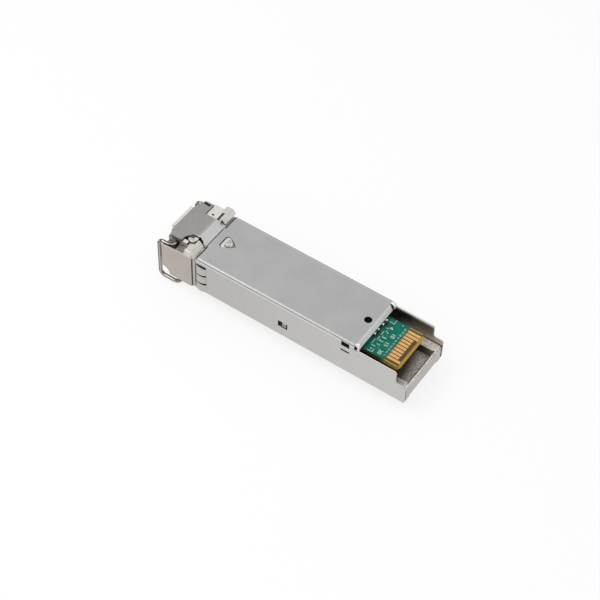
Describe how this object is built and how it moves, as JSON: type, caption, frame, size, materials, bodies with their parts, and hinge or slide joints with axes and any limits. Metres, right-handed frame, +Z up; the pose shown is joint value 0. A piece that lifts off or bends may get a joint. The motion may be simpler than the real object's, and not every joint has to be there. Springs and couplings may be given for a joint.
{
  "type": "SFP optical transceiver module",
  "caption": "Pluggable optical transceiver lying on its flat back: sheet cover, die-cast body, board edge with gold contacts, wire bail, latch lever and duplex optical ports.",
  "frame": {"origin": "centre of the bounding box's bottom face, on the surface under the bail's handle, with the module lying on its flat back, latch side up", "axes": "+X along the body towards the circuit board end, +Y across the body, +Z up towards the latch side"},
  "size_m": [0.057, 0.0142, 0.0126],
  "materials": {
    "nickel_sheet": "satin nickel on sheet steel",
    "zinc_casting": "tumbled zinc casting",
    "ground_steel": "fine ground steel",
    "warm_sheet": "satin stainless sheet",
    "polished_wire": "polished stainless wire",
    "spring_wire": "drawn spring wire",
    "board_green": "solder mask over glass epoxy",
    "contact_gold": "gold over nickel",
    "chip_black": "moulded epoxy",
    "ceramic_white": "ground zirconia",
    "component_tan": "fired ceramic",
    "flex_amber": "polyimide film",
    "can_gold": "gold plated can"
  },
  "bodies": {
    "module": {"bottom_cover": "nickel_sheet", "cast_body": "zinc_casting", "port_block": "zinc_casting", "nose_plate": "ground_steel", "collar": "warm_sheet", "pivot_pin": "ground_steel", "latch_spring": "spring_wire", "circuit_board": "board_green", "contacts_upper": "contact_gold", "contacts_lower": "contact_gold", "driver_chip": "chip_black", "amplifier_chip": "chip_black", "controller_chip": "chip_black", "memory_chip": "chip_black", "capacitors": "component_tan", "resistors": "chip_black", "inductors": "chip_black", "board_bump": "board_green", "transmitter_barrel": "ground_steel", "receiver_barrel": "ground_steel", "transmitter_sleeve": "ceramic_white", "receiver_sleeve": "ceramic_white", "transmitter_stub": "ceramic_white", "receiver_stub": "ceramic_white", "transmitter_can": "can_gold", "receiver_can": "can_gold", "transmitter_flex": "flex_amber", "receiver_flex": "flex_amber", "barrel_clamp": "warm_sheet"},
    "bail": {"bail": "polished_wire"},
    "lever": {"latch_lever": "zinc_casting"}
  },
  "joints": [
    {"name": "bail_swing", "type": "hinge", "parent": "module", "child": "bail", "pos_m": [-0.02488, 0, 0.01035], "axis": [0, 1, 0], "range_deg": [0, 90]},
    {"name": "latch_rock", "type": "hinge", "parent": "module", "child": "lever", "pos_m": [-0.02187, 0, 0.0104], "axis": [0, 1, 0], "range_deg": [0, 4.8], "deforming": ["latch_spring"]}
  ],
  "couplings": [
    {"joint": "latch_rock", "follows": "bail_swing", "ratio": 0.0533}
  ]
}
